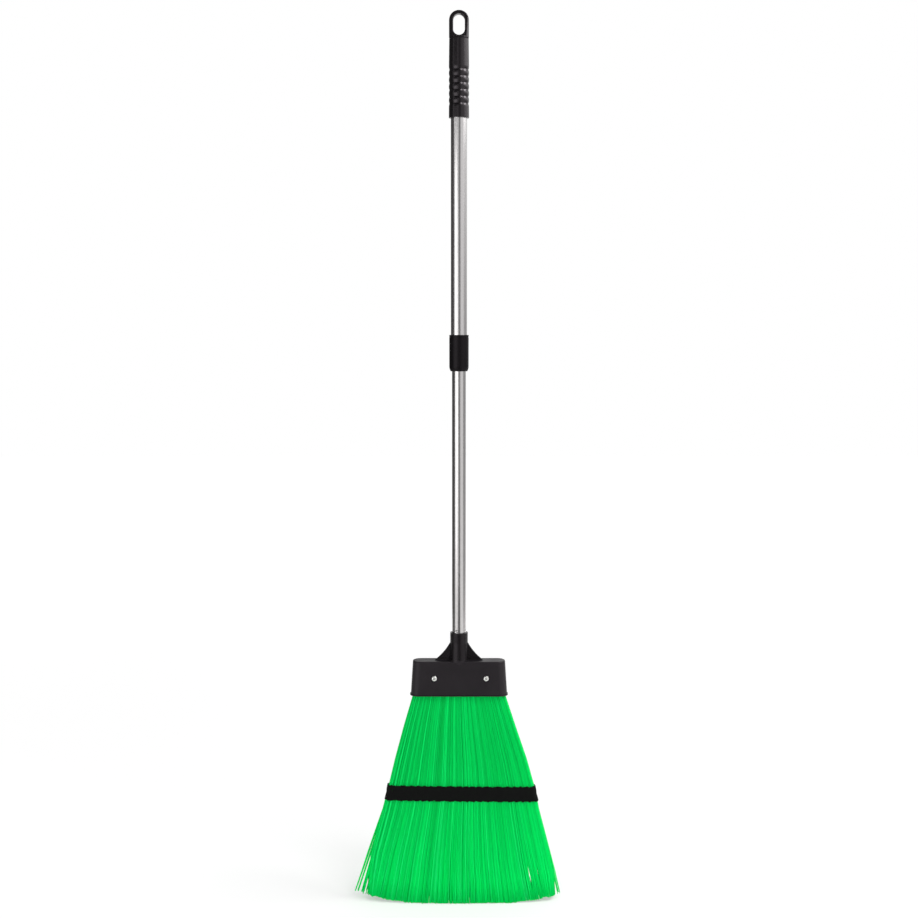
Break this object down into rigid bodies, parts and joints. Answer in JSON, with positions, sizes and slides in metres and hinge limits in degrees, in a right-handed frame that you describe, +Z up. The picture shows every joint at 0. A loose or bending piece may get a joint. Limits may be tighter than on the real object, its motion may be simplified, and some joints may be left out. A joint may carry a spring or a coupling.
{
  "type": "broom",
  "caption": "Upright fan broom: flared plastic bristles with a webbing band in a gusseted cap, on a telescopic twist-lock steel pole with a ribbed grip and swivelling hang loop.",
  "frame": {"origin": "on the floor under the pole's axis, at the level of the bristle tips", "axes": "+Z up along the pole, X along the wide side of the head, -Y to the front with the screw heads"},
  "size_m": [0.2904, 0.0536, 1.2268],
  "materials": {
    "bristle_green": "glossy translucent filament",
    "black_plastic": "satin moulded",
    "band_webbing": "woven webbing",
    "pole_steel": "satin drawn tube",
    "screw_steel": "bright zinc plated",
    "lock_nylon": "natural nylon"
  },
  "bodies": {
    "lower_section": {"head_cap": "black_plastic", "head_screws": "screw_steel", "bristles_front": "bristle_green", "bristles_middle": "bristle_green", "bristles_back": "bristle_green", "bristle_band": "band_webbing", "threaded_tip": "black_plastic", "lower_tube": "pole_steel", "lock_plug": "lock_nylon", "lock_stop_washer": "screw_steel", "lock_stop_screw": "screw_steel"},
    "expander": {"lock_expander": "lock_nylon"},
    "upper_section": {"guide_bush": "lock_nylon", "pole_collar": "black_plastic", "upper_tube": "pole_steel", "grip": "black_plastic"},
    "loop": {"hang_loop": "black_plastic"}
  },
  "joints": [
    {"name": "lock_twist", "type": "hinge", "parent": "lower_section", "child": "expander", "pos_m": [0, 0, 0.8165], "axis": [0, 0, 1], "range_deg": [0, 180]},
    {"name": "telescope", "type": "slide", "parent": "expander", "child": "upper_section", "axis": [0, 0, 1], "range_m": [-0.33, 0]},
    {"name": "loop_swivel", "type": "hinge", "parent": "upper_section", "child": "loop", "pos_m": [0, 0, 1.1898], "axis": [0, 0, 1], "continuous": true}
  ]
}
